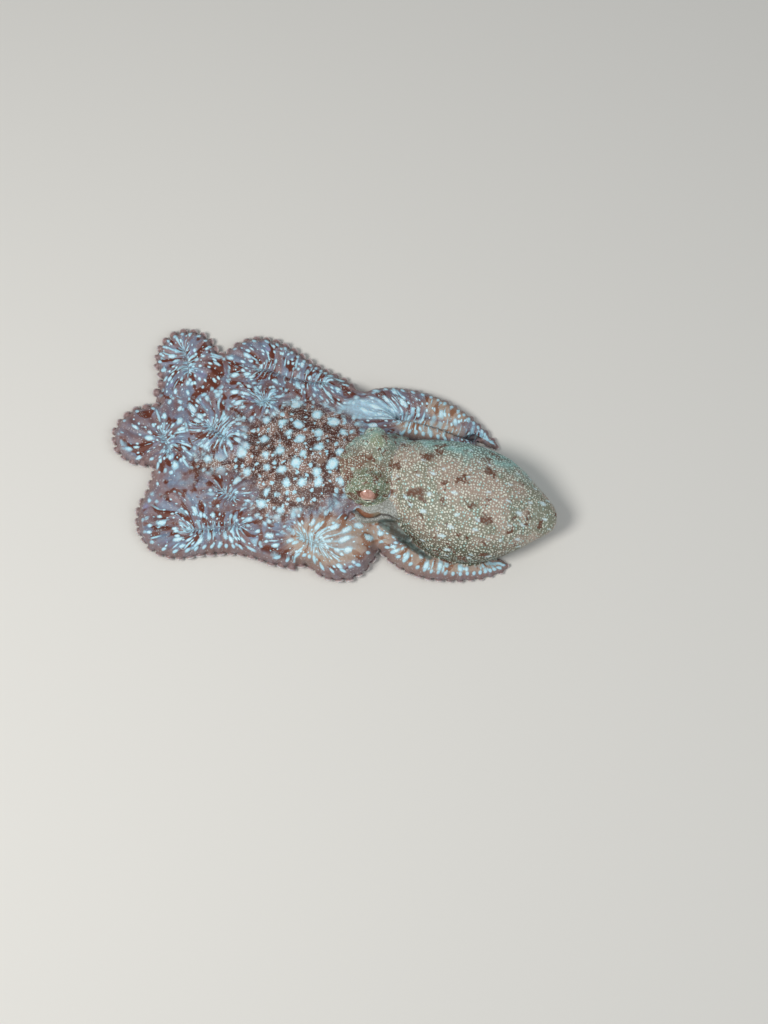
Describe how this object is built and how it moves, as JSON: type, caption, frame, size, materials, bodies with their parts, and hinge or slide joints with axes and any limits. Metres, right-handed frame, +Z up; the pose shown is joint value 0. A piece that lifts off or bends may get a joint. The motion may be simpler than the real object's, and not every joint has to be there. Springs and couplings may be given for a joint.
{
  "type": "octopus",
  "caption": "Life-size still model of a reef octopus crouching on its spread arms and web, mottled rust brown, grey-green and mauve with pale turquoise spots.",
  "frame": {"origin": "middle of the footprint's bounding box, on the ground", "axes": "+X towards the rear end of the mantle, so the animal faces -X; +Y towards its right side; +Z up"},
  "size_m": [0.2, 0.1198, 0.0322],
  "materials": {
    "mantle_skin": "moist skin, taupe to grey-green with rust-brown blotches and close-set cream dots",
    "head_skin": "moist skin, grey-green with fine cream freckles",
    "crown_skin": "moist skin, dark rust brown with soft pale turquoise spots",
    "arm_skin": "moist skin, mauve brown with pale turquoise streaks along the folds",
    "web_skin": "moist skin, mauve brown with pale turquoise streaks along the folds",
    "funnel_skin": "smooth moist skin, pale grey-green",
    "eye": "wet eye, salmon pink with a dark slit pupil"
  },
  "bodies": {
    "root": {"mantle": "mantle_skin", "funnel": "funnel_skin", "eye_left": "eye", "eye_right": "eye", "head": "head_skin", "arm_crown": "crown_skin", "arm_right_1_root": "arm_skin", "arm_right_1_middle": "arm_skin", "arm_right_1_tip": "arm_skin", "arm_right_2_root": "arm_skin", "arm_right_2_middle": "arm_skin", "arm_right_2_tip": "arm_skin", "arm_right_3_root": "arm_skin", "arm_right_3_middle": "arm_skin", "arm_right_3_tip": "arm_skin", "arm_right_4_root": "arm_skin", "arm_right_4_middle": "arm_skin", "arm_right_4_tip": "arm_skin", "arm_left_1_root": "arm_skin", "arm_left_1_middle": "arm_skin", "arm_left_1_tip": "arm_skin", "arm_left_2_root": "arm_skin", "arm_left_2_middle": "arm_skin", "arm_left_2_tip": "arm_skin", "arm_left_3_root": "arm_skin", "arm_left_3_middle": "arm_skin", "arm_left_3_tip": "arm_skin", "arm_left_4_root": "arm_skin", "arm_left_4_middle": "arm_skin", "arm_left_4_tip": "arm_skin", "web_front": "web_skin", "web_front_right": "web_skin", "web_right": "web_skin", "web_rear_right": "web_skin", "web_rear": "web_skin", "web_left": "web_skin", "web_front_left": "web_skin"}
  },
  "joints": []
}
